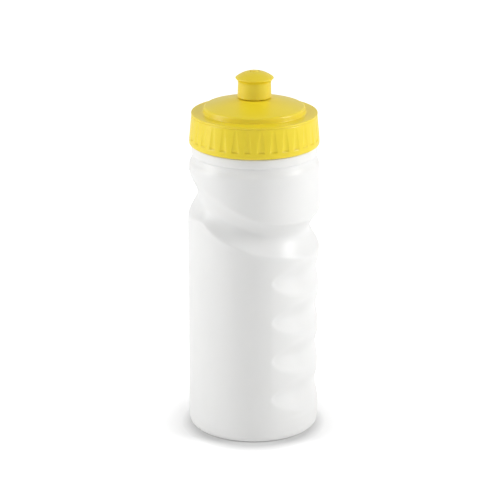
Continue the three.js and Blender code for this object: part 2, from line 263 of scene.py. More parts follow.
class NodeBuilder:
    """Adds and links nodes in a tree, a column at a time."""

    def __init__(self, tree: bpy.types.NodeTree) -> None:
        """Keeps the tree to build in."""
        self.tree = tree
        self._column = 0

    def add(self, kind: str, **values: object) -> bpy.types.Node:
        """Adds one node.

        Args:
            kind: The node's type.
            values: Properties of the node, and inputs by name with spaces as underscores.

        Returns:
            The node.
        """
        node = self.tree.nodes.new(kind)
        node.location = (self._column * 190, 0)
        self._column += 1
        for key, value in values.items():
            socket = node.inputs.get(key.replace("_", " "))
            if socket is not None and not hasattr(type(node), key):
                self.feed(value, socket)
            else:
                setattr(node, key, value)
        return node

    def feed(self, value: Feed, socket: bpy.types.NodeSocket) -> None:
        """Links an output to an input, or sets the input's value.

        Args:
            value: The output or the plain value.
            socket: The input.
        """
        if isinstance(value, bpy.types.NodeSocket):
            self.tree.links.new(value, socket)
        else:
            socket.default_value = value

    def math(self, operation: str, a: Feed, b: Feed) -> bpy.types.NodeSocket:
        """Adds a math node.

        Args:
            operation: What it does.
            a: Its first value.
            b: Its second value.

        Returns:
            Its result.
        """
        node = self.add("ShaderNodeMath", operation=operation)
        self.feed(a, node.inputs[0])
        self.feed(b, node.inputs[1])
        return node.outputs[0]

    def remap(
        self, value: Feed, low: float, high: float, to_low: float, to_high: float
    ) -> bpy.types.NodeSocket:
        """Maps a value from one range to another, clamped.

        Args:
            value: The value to map.
            low: The start of its range.
            high: The end of its range.
            to_low: What the start becomes.
            to_high: What the end becomes.

        Returns:
            The mapped value.
        """
        node = self.add("ShaderNodeMapRange", From_Min=low, From_Max=high, To_Min=to_low, To_Max=to_high)
        self.feed(value, node.inputs["Value"])
        return node.outputs["Result"]

    def mix_colour(self, factor: Feed, a: Feed, b: Feed) -> bpy.types.NodeSocket:
        """Mixes two colours.

        Args:
            factor: The share of the second colour.
            a: The first colour.
            b: The second colour.

        Returns:
            The mixed colour.
        """
        node = self.add("ShaderNodeMix", data_type="RGBA")
        for index, value in ((0, factor), (6, a), (7, b)):
            self.feed(value, node.inputs[index])
        return node.outputs[2]


def new_group(
    name: str, inputs: dict[str, tuple[str, float]], outputs: dict[str, str]
) -> bpy.types.NodeTree:
    """Makes an empty shader node group with named sockets.

    Args:
        name: The group's name.
        inputs: Socket type and default value by input name.
        outputs: Socket type by output name.

    Returns:
        The group's tree.
    """
    tree = bpy.data.node_groups.new(name, "ShaderNodeTree")
    for label, (kind, default) in inputs.items():
        socket = tree.interface.new_socket(name=label, in_out="INPUT", socket_type=kind)
        socket.default_value = default
    for label, kind in outputs.items():
        tree.interface.new_socket(name=label, in_out="OUTPUT", socket_type=kind)
    return tree


def moulded_skin_group() -> bpy.types.NodeTree:
    """Makes the fine skin of moulded plastic: a height from tool grain and slow waviness.

    Returns:
        The group's tree.
    """
    floats = "NodeSocketFloat"
    tree = new_group(
        "Moulded skin",
        {
            "Grain size": (floats, 0.4), "Grain depth": (floats, 1.0),
            "Wave size": (floats, 9.0), "Wave depth": (floats, 1.0),
        },
        {"Height": floats},
    )
    build = NodeBuilder(tree)
    given = build.add("NodeGroupInput").outputs
    place = build.add("ShaderNodeTexCoord").outputs["Object"]
    grain = build.add("ShaderNodeTexNoise", Detail=3.0, Roughness=0.6, Vector=place)
    build.feed(build.math("DIVIDE", 1.0 / MM, given["Grain size"]), grain.inputs["Scale"])
    wave = build.add("ShaderNodeTexNoise", Detail=1.0, Roughness=0.4, Vector=place)
    build.feed(build.math("DIVIDE", 1.0 / MM, given["Wave size"]), wave.inputs["Scale"])
    fine = build.math("MULTIPLY", grain.outputs["Fac"], given["Grain depth"])
    slow = build.math("MULTIPLY", wave.outputs["Fac"], given["Wave depth"])
    result = build.add("NodeGroupOutput")
    build.feed(build.math("ADD", fine, slow), result.inputs["Height"])
    return tree


def handling_wear_group() -> bpy.types.NodeTree:
    """Makes the marks of light use: faint rubbed clouds, fine scuffs and paler edges, as masks from 0 to 1.

    Returns:
        The group's tree.
    """
    floats = "NodeSocketFloat"
    tree = new_group(
        "Handling wear",
        {"Cloud size": (floats, 22.0), "Scuff length": (floats, 14.0), "Edge reach": (floats, 0.06)},
        {"Clouds": floats, "Scuffs": floats, "Edges": floats},
    )
    build = NodeBuilder(tree)
    given = build.add("NodeGroupInput").outputs
    place = build.add("ShaderNodeTexCoord").outputs["Object"]
    cloud = build.add("ShaderNodeTexNoise", Detail=4.0, Roughness=0.55, Vector=place)
    build.feed(build.math("DIVIDE", 1.0 / MM, given["Cloud size"]), cloud.inputs["Scale"])
    clouds = build.remap(cloud.outputs["Fac"], 0.35, 0.7, 0.0, 1.0)
    turned = build.add("ShaderNodeMapping", Vector=place, Rotation=(0.5, 0.9, 0.3), Scale=(1.0, 1.0, 26.0))
    scuff = build.add("ShaderNodeTexNoise", Detail=2.0, Roughness=0.5, Vector=turned.outputs["Vector"])
    build.feed(build.math("DIVIDE", 1.0 / MM, given["Scuff length"]), scuff.inputs["Scale"])
    lines = build.remap(scuff.outputs["Fac"], 0.66, 0.74, 0.0, 1.0)
    sharp = build.add("ShaderNodeNewGeometry").outputs["Pointiness"]
    high = build.math("ADD", given["Edge reach"], 0.5)
    edge = build.add("ShaderNodeMapRange", From_Min=0.5)
    build.feed(sharp, edge.inputs["Value"])
    build.feed(high, edge.inputs["From Max"])
    result = build.add("NodeGroupOutput")
    build.feed(clouds, result.inputs["Clouds"])
    build.feed(build.math("MULTIPLY", lines, clouds), result.inputs["Scuffs"])
    build.feed(edge.outputs["Result"], result.inputs["Edges"])
    return tree


@dataclass(frozen=True)
class MouldedPlastic:
    """A moulded plastic: its colour, gloss, translucence, skin and wear, with its sizes in millimetres."""

    name: str
    colour: tuple[float, float, float]
    shade: tuple[float, float, float]
    worn: tuple[float, float, float]
    roughness: float
    translucence: float
    depth_of_light: tuple[float, float, float]
    roughness_swing: float = 0.06
    grain_size: float = 0.35
    grain_depth: float = 0.006
    wave_size: float = 9.0
    wave_depth: float = 0.05
    cloud_size: float = 22.0
    scuff_length: float = 14.0
    edge_reach: float = 0.08
    cloud_share: float = 0.5
    scuff_share: float = 0.12
    edge_share: float = 0.35

    def material(self, skin: bpy.types.NodeTree, wear: bpy.types.NodeTree) -> bpy.types.Material:
        """Builds the material.

        Args:
            skin: The moulded skin group.
            wear: The handling wear group.

        Returns:
            The material.
        """
        material = bpy.data.materials.new(self.name)
        material.use_nodes = True
        material.node_tree.nodes.clear()
        build = NodeBuilder(material.node_tree)
        worn = build.add("ShaderNodeGroup", node_tree=wear, Cloud_size=self.cloud_size,
                         Scuff_length=self.scuff_length, Edge_reach=self.edge_reach).outputs
        clouds = build.math("MULTIPLY", worn["Clouds"], self.cloud_share)
        colour = build.mix_colour(clouds, (*self.colour, 1.0), (*self.shade, 1.0))
        edges = build.math("MULTIPLY", worn["Edges"], self.edge_share)
        colour = build.mix_colour(edges, colour, (*self.worn, 1.0))
        swing = build.math("MULTIPLY", worn["Clouds"], self.roughness_swing)
        rough = build.math("ADD", swing, self.roughness - self.roughness_swing / 2)
        rough = build.math("ADD", rough, build.math("MULTIPLY", worn["Scuffs"], self.scuff_share))
        relief = build.add("ShaderNodeGroup", node_tree=skin, Grain_size=self.grain_size,
                           Grain_depth=self.grain_depth, Wave_size=self.wave_size, Wave_depth=self.wave_depth)
        bump = build.add("ShaderNodeBump", Strength=1.0, Distance=MM, Height=relief.outputs["Height"])
        shader = build.add(
            "ShaderNodeBsdfPrincipled", Base_Color=colour, Roughness=rough, IOR=1.5,
            Subsurface_Weight=self.translucence, Subsurface_Radius=self.depth_of_light, Subsurface_Scale=MM,
            Normal=bump.outputs["Normal"],
        )
        output = build.add("ShaderNodeOutputMaterial")
        build.feed(shader.outputs["BSDF"], output.inputs["Surface"])
        return material


MILKY_POLYETHYLENE = MouldedPlastic(
    name="Milky polyethylene",
    colour=(0.805, 0.805, 0.795), shade=(0.78, 0.78, 0.768), worn=(0.84, 0.84, 0.83),
    roughness=0.335, translucence=0.2, depth_of_light=(1.6, 1.5, 1.4),
)
YELLOW_POLYPROPYLENE = MouldedPlastic(
    name="Yellow polypropylene",
    colour=(0.835, 0.66, 0.022), shade=(0.805, 0.63, 0.018), worn=(0.88, 0.71, 0.07),
    roughness=0.335, translucence=0.12, depth_of_light=(1.0, 0.7, 0.2), wave_depth=0.02,
)
YELLOW_NOZZLE = MouldedPlastic(
    name="Yellow soft polyethylene",
    colour=(0.81, 0.635, 0.026), shade=(0.78, 0.605, 0.022), worn=(0.88, 0.70, 0.08),
    roughness=0.34, translucence=0.2, depth_of_light=(1.4, 1.0, 0.3), wave_depth=0.02,
)
SEAL_FOAM = MouldedPlastic(
    name="Sealing foam",
    colour=(0.74, 0.74, 0.70), shade=(0.69, 0.69, 0.65), worn=(0.8, 0.8, 0.77),
    roughness=0.7, translucence=0.1, depth_of_light=(0.8, 0.8, 0.7), grain_size=0.8, grain_depth=0.05,
)


# --------------------------------------------------------------------------------------------------
# The bottle body
# --------------------------------------------------------------------------------------------------


@dataclass
class BottleBody:
    """The blow-moulded body: base, side wall with groove and grips, shoulder, neck ring and threaded neck."""

    radius: float
    ring_radius: float
    mouth: float
    wall: float = 1.2 * MM
    columns: int = 256
    row_step: float = 0.6 * MM
    inner_row_skip: int = 3
    base_corner: float = 2.6 * MM
    base_lean: float = 0.2
    ring_inner: float = 28.5 * MM
    push_up: float = 3.0 * MM
    # Where the base's push-up bends, as shares of the inner ring's radius and of its own rise.
    push_up_bend: tuple[float, float] = (0.62, 0.72)
    weld_half_length: float = 17.0 * MM
    weld_half_width: float = 0.5 * MM
    weld_height: float = 0.35 * MM
    drum_top: float = 145.0 * MM
    drum_inset: float = 0.35 * MM
    drum_swell: float = 0.34 * MM
    shoulder_rise: float = 7.5 * MM
    # The shoulder's curve, as shares of the way out from the ring's notch and of the rise.
    shoulder: tuple[tuple[float, float], ...] = (
        (0.97, 0.14), (0.92, 0.3), (0.84, 0.45), (0.7, 0.57), (0.45, 0.69),
        (0.31, 0.79), (0.2, 0.9), (0.08, 1.0), (0.0, 1.08),
    )
    groove_height: float = 122.9 * MM
    groove_depth: float = 5.6 * MM
    groove_slant: float = 10.0 * MM
    groove_low: float = 62.0
    groove_lower: float = 9.4 * MM
    groove_lower_swell: float = 0.7 * MM
    groove_upper: float = 9.4 * MM
    groove_upper_swell: float = 1.0 * MM
    groove_power: float = 1.5
    groove_waist: float = 8.0
    groove_flare: float = 2.8 * MM
    groove_sag: float = 1.1 * MM
    groove_sag_reach: float = 20.0
    groove_pinch: float = 4.0 * MM
    groove_pinch_azimuth: float = -55.0
    groove_pinch_reach: float = 20.0
    # Where the groove's lips turn from crisp to soft, by height on the wall and by angle from its low side.
    crisp_blur: float = 0.42 * MM
    soft_blur: float = 2.4 * MM
    soft_heights: tuple[float, float] = (99.0 * MM, 104.0 * MM)
    soft_upper: tuple[float, float] = (70.0, 105.0)
    soft_lower: tuple[float, float] = (135.0, 165.0)
    soft_blend: float = 5.0 * MM
    low_side: tuple[float, float] = (20.0, 50.0)
    low_side_softness: float = 0.3
    grip_count: int = 4
    grip_top: float = 89.8 * MM
    grip_pitch: float = 22.1 * MM
    grip_half_height: float = 10.2 * MM
    grip_half_angle: float = 46.0
    grip_azimuth: float = 62.0
    grip_depth: float = 1.9 * MM
    grip_lower_power: float = 1.2
    grip_upper_power: float = 1.8
    grip_relief: float = 0.9 * MM
    grip_relief_power: float = 0.35
    grip_tilt: float = 0.027 * MM
    grip_scoop: float = 0.9
    grip_scoop_turn: float = -20.0
    grip_scoop_reach: float = 18.0
    notch_depth: float = 0.5 * MM
    notch_height: float = 1.1 * MM
    neck_ring_height: float = 5.0 * MM
    neck_overhang: float = 4.1 * MM
    neck_wall: float = 1.8 * MM
    thread_rise: float = 3.4 * MM
    thread_azimuth: float = 90.0
    thread_turns: float = 1.5
    seam_height: float = 0.08 * MM
    seam_width: float = 0.35 * MM
    azimuth: np.ndarray = field(init=False)

    def __post_init__(self) -> None:
        """Spaces the columns evenly round the bottle."""
        self.azimuth = np.linspace(-180.0, 180.0, self.columns, endpoint=False)

    @staticmethod
    def dip(away: np.ndarray, half_width: np.ndarray | float, power: float) -> np.ndarray:
        """A hollow's profile: 1 at its centre line, 0 at its edge and beyond."""
        share = np.clip(np.abs(away) / half_width, 0.0, 1.0)
        return np.cos(share * math.pi / 2.0) ** power

    @staticmethod
    def turn_from(azimuth: np.ndarray, start: float) -> np.ndarray:
        """The turn from one azimuth to others, from -180 to 180 degrees."""
        return np.mod(azimuth - start + 180.0, 360.0) - 180.0

    def groove(self, azimuth: np.ndarray, z: np.ndarray) -> np.ndarray:
        """The thumb groove, which slants round the whole body and has crisp lips.

        Args:
            azimuth: Azimuths in degrees.
            z: Heights, in an array of the same shape.

        Returns:
            The groove's depth at each.
        """
        low_side = np.cos(np.radians(azimuth - self.groove_low))
        from_waist = self.turn_from(azimuth, self.groove_waist)
        sag = self.groove_sag * np.exp(-((from_waist / self.groove_sag_reach) ** 2))
        away = z - self.groove_height + self.groove_slant * low_side + sag
        flare = self.groove_flare * np.sin(np.radians(from_waist)) ** 4
        from_pinch = (azimuth - self.groove_pinch_azimuth) / self.groove_pinch_reach
        pinch = self.groove_pinch * np.exp(-(from_pinch**2))
        below = self.groove_lower + self.groove_lower_swell * low_side + flare - pinch
        above = self.groove_upper - self.groove_upper_swell * low_side + flare
        share = np.clip(np.abs(away) / np.where(away < 0, below, above), 0.0, 1.0)
        return self.groove_depth * (1.0 - share**self.groove_power)

    def grips(self, azimuth: np.ndarray, z: np.ndarray) -> np.ndarray:
        """The row of finger grips in their sunk panel.

        Args:
            azimuth: Azimuths in degrees.
            z: Heights, in an array of the same shape.

        Returns:
            The depth of the grips and the panel at each.
        """
        turn = self.turn_from(azimuth, self.grip_azimuth)
        room = np.clip(1.0 - (turn / self.grip_half_angle) ** 2, 1e-6, 1.0)
        middle = self.grip_top - (self.grip_count - 1) * self.grip_pitch / 2
        half = self.grip_count * self.grip_pitch / 2 + MM
        from_scoop = (turn - self.grip_scoop_turn) / self.grip_scoop_reach
        scoop = 1.0 + self.grip_scoop * np.exp(-(from_scoop**2))
        depth = self.grip_relief * room * self.dip(z - middle, half, self.grip_relief_power)
        for i in range(self.grip_count):
            away = z - (self.grip_top - i * self.grip_pitch - self.grip_tilt * turn)
            reach = self.grip_half_height * np.sqrt(room)
            lower = self.dip(away, reach, self.grip_lower_power)
            upper = self.dip(away, reach, self.grip_upper_power)
            hollow = np.where(away < 0, lower, upper)
            depth = depth + self.grip_depth * scoop * np.sqrt(room) * hollow
        return np.where(np.abs(turn) < self.grip_half_angle, depth, 0.0)

    def softness(self, azimuth: np.ndarray, z: np.ndarray) -> np.ndarray:
        """How soft the lips are: soft round the high side, and a little at the lowest part of the lower lip.

        Args:
            azimuth: Azimuths in degrees.
            z: Heights, in an array of the same shape.

        Returns:
            The softness at each, from 0 for crisp to 1 for soft.
        """
        round_from_low = np.abs(self.turn_from(azimuth, self.groove_low))
        centre = self.groove_height - self.groove_slant * np.cos(np.radians(round_from_low))
        upper = smooth_steps(round_from_low, *self.soft_upper)
        lower = smooth_steps(round_from_low, *self.soft_lower)
        lower += self.low_side_softness * (1.0 - smooth_steps(round_from_low, *self.low_side))
        above = smooth_steps(z - centre, -self.soft_blend, self.soft_blend)
        return lower * (1.0 - above) + upper * above

    def wall_heights(self) -> np.ndarray:
        """The heights of the side wall's rows, from the base corner to the drum's top."""
        return np.arange(self.base_corner + self.row_step, self.drum_top, self.row_step)

    def side_wall(self, heights: np.ndarray) -> np.ndarray:
        """The outer radius of the side wall.

        Args:
            heights: Evenly spaced heights.

        Returns:
            Radii by height and column.
        """
        azimuth, z = np.meshgrid(self.azimuth, heights)
        share = np.clip((z - self.groove_height) / (self.drum_top - self.groove_height), 0.0, 1.0)
        low_side = np.cos(np.radians(azimuth - self.groove_low))
        plain = self.radius - share * (self.drum_inset + self.drum_swell * low_side)
        pressed = self.groove(azimuth, z) + self.grips(azimuth, z)
        crisp = blur_rows(pressed, self.row_step, self.crisp_blur)
        soft = blur_rows(pressed, self.row_step, self.soft_blur)
        softness = self.softness(azimuth, z) * smooth_steps(z, *self.soft_heights)
        from_seam = np.radians(np.abs(azimuth) - 90.0) * self.radius
        seam = self.seam_height * np.exp(-((from_seam / self.seam_width) ** 2))
        return plain - crisp * (1.0 - softness) - soft * softness + seam

    def outer_rings(self) -> list[np.ndarray]:
        """The outer surface, from the centre of the base to the top of the neck ring.

        Returns:
            Its rings in order.
        """
        bend_radius, bend_height = self.push_up_bend
        base = rounded_profile([
            Corner(1.0 * MM, self.push_up),
            Corner(self.ring_inner * bend_radius, self.push_up * bend_height, 6.0 * MM),
            Corner(self.ring_inner, 0.0, 1.6 * MM),
            Corner(self.radius - self.base_corner * self.base_lean, 0.0, self.base_corner),
            Corner(self.radius, self.base_corner),
        ], 1.2 * MM, loop=False)
        rings = [place_rings(r, z, self.azimuth) for r, z in base]
        for ring in rings:
            weld = np.exp(-((ring[:, 1] / self.weld_half_width) ** 4))
            ring[:, 2] -= self.weld_height * weld * (np.abs(ring[:, 0]) < self.weld_half_length)
        heights = self.wall_heights()
        radii = self.side_wall(heights)
        rings += [place_rings(r, z, self.azimuth) for r, z in zip(radii, heights)]
        notch = self.ring_radius - self.notch_depth
        drum_end = radii[-1]
        top = self.neck_ring_top()
        for out, up in self.shoulder:
            radius = notch + (drum_end - notch) * out
            rings.append(place_rings(radius, self.drum_top + self.shoulder_rise * up, self.azimuth))
        ring_profile = rounded_profile([
            Corner(notch, self.drum_top + self.shoulder_rise + 0.9 * MM, 0.8 * MM),
            Corner(self.ring_radius, top - self.neck_ring_height + 0.2 * MM, 0.7 * MM),
            Corner(self.ring_radius, top, 0.5 * MM),
            Corner(self.ring_radius - self.neck_overhang + 0.6 * MM, top),
        ], 0.8 * MM, loop=False)
        rings += [place_rings(r, z, self.azimuth) for r, z in ring_profile]
        return rings

    def neck_ring_top(self) -> float:
        """The height of the neck ring's top face."""
        return self.drum_top + self.shoulder_rise + self.notch_height + self.neck_ring_height

    def neck_rings(self) -> list[np.ndarray]:
        """The threaded neck, up its outside, over the mouth and down its bore.

        Returns:
            Its rings in order.
        """
        outside = self.ring_radius - self.neck_overhang
        foot = self.neck_ring_top()
        thread = Thread(foot + self.thread_rise, self.thread_azimuth, self.thread_turns)
        heights = np.arange(foot + 0.25 * MM, self.mouth - 0.8 * MM, 0.3 * MM)
        azimuth, z = np.meshgrid(self.azimuth, heights)
        radii = outside + thread.ridge(azimuth, z)
        rings = [place_rings(r, height, self.azimuth) for r, height in zip(radii, heights)]
        mouth = rounded_profile([
            Corner(outside, self.mouth - 0.7 * MM),
            Corner(outside - 0.2 * MM, self.mouth, 0.5 * MM),
            Corner(outside - self.neck_wall, self.mouth, 0.5 * MM),
            Corner(outside - self.neck_wall, foot - self.wall - 0.3 * MM, 0.8 * MM),
            Corner(self.ring_radius - self.wall, foot - self.wall - 0.3 * MM, 0.8 * MM),
            Corner(self.ring_radius - self.wall, foot - self.neck_ring_height + 0.8 * MM, 0.6 * MM),
            Corner(self.ring_radius - self.notch_depth - self.wall, self.drum_top + self.shoulder_rise,
                   0.8 * MM),
        ], 1.0 * MM, loop=False)
        return rings + [place_rings(r, z, self.azimuth) for r, z in mouth]

    def inner_rings(self) -> list[np.ndarray]:
        """The inner surface, from under the shoulder to the centre of the base.

        Returns:
            Its rings in order.
        """
        heights = self.wall_heights()
        radii = self.side_wall(heights) - self.wall
        downwards = slice(None, None, -self.inner_row_skip)
        rings = [place_rings(r, z, self.azimuth) for r, z in zip(radii[downwards], heights[downwards])]
        bend_radius, bend_height = self.push_up_bend
        base = rounded_profile([
            Corner(self.radius - self.wall, self.base_corner),
            Corner(self.radius - self.wall - self.base_corner * self.base_lean, self.wall, self.base_corner),
            Corner(self.ring_inner, self.wall, 2.0 * MM),
            Corner(self.ring_inner * bend_radius, self.push_up * bend_height + self.wall, 6.0 * MM),
            Corner(1.0 * MM, self.push_up + self.wall),
        ], 2.0 * MM, loop=False)
        return rings + [place_rings(r, z, self.azimuth) for r, z in base]

    def build(self, material: bpy.types.Material) -> bpy.types.Object:
        """Builds the body and lets it ride on the bottle.

        Args:
            material: The body's plastic.

        Returns:
            The body.
        """
        rings = self.outer_rings() + self.neck_rings() + self.inner_rings()
        piece = loft("bottle_shell", np.array(rings))
        piece.data.materials.append(material)
        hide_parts("bottle_body")
        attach(piece, Body.BOTTLE.value)
        return piece


# --------------------------------------------------------------------------------------------------
# The screw cap
# --------------------------------------------------------------------------------------------------


@dataclass
class ScrewCap:
    """The screw cap in one moulding: fluted skirt, collar, raised disc, and the spout post with its pin."""

    foot_radius: float
    foot: float
    pin_top: float
    foot_band: float = 1.2 * MM
    skirt_taper: float = 1.35 * MM
    collar_top: float = 175.7 * MM
    collar_rounding: float = 0.7 * MM
    collar_bead: float = 0.2 * MM
    plate: float = 1.8 * MM
    disc_radius: float = 27.3 * MM
    disc_lean: float = 0.7 * MM
    disc_rim: float = 178.9 * MM
    disc_top: float = 183.5 * MM
    disc_thickness: float = 2.2 * MM
    crown_radius: float = 9.6 * MM
    bore_radius: float = 31.2 * MM
    flute_count: int = 32
    flute_width: float = 4.2 * MM
    flute_depth: float = 0.42 * MM
    flute_end_depth: float = 0.4 * MM
    flute_end_share: float = 0.08
    flute_thinning: float = 0.8
    flute_hollow: float = 2.2
    flute_taper: float = 0.62
    flute_band: float = 3.2 * MM
    flute_length: float = 12.4 * MM
    post_radius: float = 6.7 * MM
    post_bore: float = 4.9 * MM
    post_top: float = 192.5 * MM
    post_bead: float = 0.55 * MM
    pin_radius: float = 2.2 * MM
    pin_foot_depth: float = 5.5 * MM
    spoke_count: int = 3
    spoke_azimuth: float = 30.0
    spoke_depth: float = 2.4 * MM
    spoke_height: float = 2.5 * MM
    spoke_thickness: float = 1.2 * MM
    thread_rise: float = 3.0 * MM
    thread_start: float = 0.375
    thread_turns: float = 1.3

    def skirt_radius(self, z: float) -> float:
        """The plain skirt's outer radius at a height."""
        low, high = self.foot + self.foot_band, self.collar_top - self.collar_rounding
        return self.foot_radius - self.skirt_taper * (z - low) / (high - low)

    def flute_half_angle(self, z: float) -> float:
        """Half of a flute's width at a height, in degrees."""
        share = np.clip((z - self.foot - self.flute_band) / self.flute_length, 0.0, 1.0)
        return math.degrees(self.flute_width / 2 * (1.0 - self.flute_taper * share) / self.foot_radius)

    def flute_depth_at(self, up: float) -> float:
        """A flute's depth along its middle: deepest at its lower end and gone at its tip.

        Args:
            up: How far up the flute, as a share of its length.

        Returns:
            The depth, or 0 beyond either end.
        """
        if not 0.0 < up < 1.0:
            return 0.0
        end = self.flute_end_depth * max(0.0, 1.0 - up / self.flute_end_share)
        return self.flute_depth * (1.0 - up) ** self.flute_thinning + end

    def columns(self, z: float) -> tuple[np.ndarray, np.ndarray]:
        """Azimuths of the columns at a height, gathered along the edges of the flutes.

        Args:
            z: The height.

        Returns:
            The azimuths in degrees, and how deep into a flute each is, from 0 to 1.
        """
        pitch = 360.0 / self.flute_count
        half = self.flute_half_angle(z)
        across = np.array((-1.0, -0.97, -0.75, -0.4, 0.0, 0.4, 0.75, 0.97, 1.0))
        land = half + (pitch / 2 - half) * np.array((0.06, 0.4))
        offsets = np.concatenate((-land[::-1], across * half, land, [pitch / 2]))
        depths = np.concatenate(([0.0, 0.0], 1.0 - np.abs(across) ** self.flute_hollow, [0.0, 0.0, 0.0]))
        starts = (np.arange(self.flute_count) + 0.5) * pitch
        return (starts[:, None] + offsets).ravel(), np.tile(depths, self.flute_count)

    def shell_profile(self) -> np.ndarray:
        """The closed profile of the cap, from the skirt's foot up, over the post, and back down the inside.

        Returns:
            Points as rows of radius and height.
        """
        low, high = self.foot + self.foot_band, self.collar_top
        ceiling = self.collar_top - self.plate
        bead = self.post_top - 0.8 * MM
        rim = self.disc_radius - self.disc_lean
        under = rim - self.disc_thickness
        start = self.foot + self.flute_band
        flute_heights = (start - 0.12 * MM, start + 0.1 * MM, start + 1.0 * MM, start + self.flute_length)
        flute_rows = [Corner(self.skirt_radius(z), z) for z in flute_heights]
        return rounded_profile([
            Corner(self.foot_radius - 0.1 * MM, self.foot, 0.6 * MM),
            Corner(self.foot_radius, low, 0.4 * MM),
            *flute_rows,
            Corner(self.skirt_radius(high), high - 1.1 * MM, 0.2 * MM),
            Corner(self.skirt_radius(high) + self.collar_bead, high - 0.7 * MM, 0.3 * MM),
            Corner(self.skirt_radius(high) + self.collar_bead, high, self.collar_rounding),
            Corner(self.disc_radius + 0.3 * MM, high, 0.2 * MM),
            Corner(self.disc_radius - 0.1 * MM, high + 0.3 * MM, 0.3 * MM),
            Corner(rim + 0.2 * MM, self.disc_rim - 0.5 * MM, 0.3 * MM),
            Corner(rim - 0.35 * MM, self.disc_rim + 0.1 * MM, 0.4 * MM),
            Corner(self.crown_radius, self.disc_top - 0.1 * MM, 3.0 * MM),
            Corner(self.post_radius, self.disc_top, 0.1 * MM),
            Corner(self.post_radius, bead - 1.3 * MM, 0.3 * MM),
            Corner(self.post_radius + self.post_bead, bead - 0.7 * MM, 0.2 * MM),
            Corner(self.post_radius + self.post_bead, bead, 0.3 * MM),
            Corner(self.post_radius - 0.3 * MM, self.post_top, 0.3 * MM),
            Corner(self.post_bore, self.post_top, 0.4 * MM),
            Corner(self.post_bore, self.disc_top - self.disc_thickness, 0.6 * MM),
            Corner(under, self.disc_rim - self.disc_thickness + 0.2 * MM, 0.8 * MM),
            Corner(under, ceiling, 0.4 * MM),
            Corner(self.bore_radius, ceiling, 0.6 * MM),
            Corner(self.bore_radius, self.foot + 1.5 * MM, 0.6 * MM),
            Corner(self.bore_radius + 0.8 * MM, self.foot, 0.3 * MM),
        ], 0.55 * MM)

    def thread(self) -> Thread:
        """The thread in the skirt's bore, halfway between the turns of the neck's thread."""
        start = self.foot + self.thread_rise + (self.thread_start - 0.5) * Thread.lead
        return Thread(start, BottleBody.thread_azimuth + self.thread_start * 360.0, self.thread_turns)

    def shell(self) -> bpy.types.Object:
        """Builds the skirt, the collar, the disc and the post as one surface.

        Returns:
            The shell, without its pin.
        """
        thread = self.thread()
        rings: list[np.ndarray] = []
        on_outside = True
        for r, z in self.shell_profile():
            on_outside = on_outside and z < self.collar_top - 0.02 * MM
            azimuth, flute = self.columns(z)
            radius = np.full(azimuth.shape, float(r))
            if on_outside and r > self.bore_radius + MM and z > self.foot + MM:
                up = (z - self.foot - self.flute_band) / self.flute_length
                radius = radius - self.flute_depth_at(up) * flute
            elif abs(r - self.bore_radius) < 0.05 * MM and z < self.collar_top - self.plate:
                radius = radius - thread.ridge(azimuth, np.full(azimuth.shape, z))
            rings.append(place_rings(radius, z, azimuth))
        return loft("cap_shell", np.array(rings), loop=True)

    def pin(self) -> bpy.types.Object:
        """Builds the pin that closes the nozzle's hole.

        Returns:
            The pin.
        """
        foot = self.post_top - self.pin_foot_depth
        profile = rounded_profile([
            Corner(0.1 * MM, foot),
            Corner(self.pin_radius, foot, 0.6 * MM),
            Corner(self.pin_radius, self.pin_top, 0.5 * MM),
            Corner(0.1 * MM, self.pin_top + 0.05 * MM),
        ], 0.5 * MM, loop=False)
        azimuth = np.linspace(0.0, 360.0, 64, endpoint=False)
        return loft("cap_pin", np.array([place_rings(r, z, azimuth) for r, z in profile]))

    def spoke(self, azimuth: float) -> bpy.types.Object:
        """Builds one of the ribs that hold the pin in the post: a bar with rounded long edges.

        Args:
            azimuth: The way it points, in degrees.

        Returns:
            The rib.
        """
        inner, outer = self.pin_radius * 0.6, self.post_bore + 0.6 * MM
        top = self.post_top - self.spoke_depth
        turn = math.radians(azimuth)
        along = np.array((math.sin(turn), -math.cos(turn), 0.0))
        across = np.array((math.cos(turn), math.sin(turn), 0.0))
        section = rounded_profile([
            Corner(x * self.spoke_thickness / 2, z, 0.25 * MM)
            for x, z in ((-1, top - self.spoke_height), (1, top - self.spoke_height), (1, top), (-1, top))
        ], 0.5 * MM)
        rings = [[along * reach + across * x + np.array((0.0, 0.0, z)) for x, z in section[::-1]]
                 for reach in np.linspace(inner, outer, 6)]
        return loft("cap_spoke", np.array(rings))

    def build(self, material: bpy.types.Material) -> bpy.types.Object:
        """Builds the cap and lets it ride on the cap's body.

        Args:
            material: The cap's plastic.

        Returns:
            The cap.
        """
        pitch = 360.0 / self.spoke_count
        spokes = [self.spoke(self.spoke_azimuth + i * pitch) for i in range(self.spoke_count)]
        piece = join("fluted_cap", [self.shell(), self.pin(), *spokes])
        piece.data.materials.append(material)
        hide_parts("screw_cap")
        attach(piece, Body.CAP.value)
        return piece


# --------------------------------------------------------------------------------------------------
# The seal and the nozzle
# --------------------------------------------------------------------------------------------------


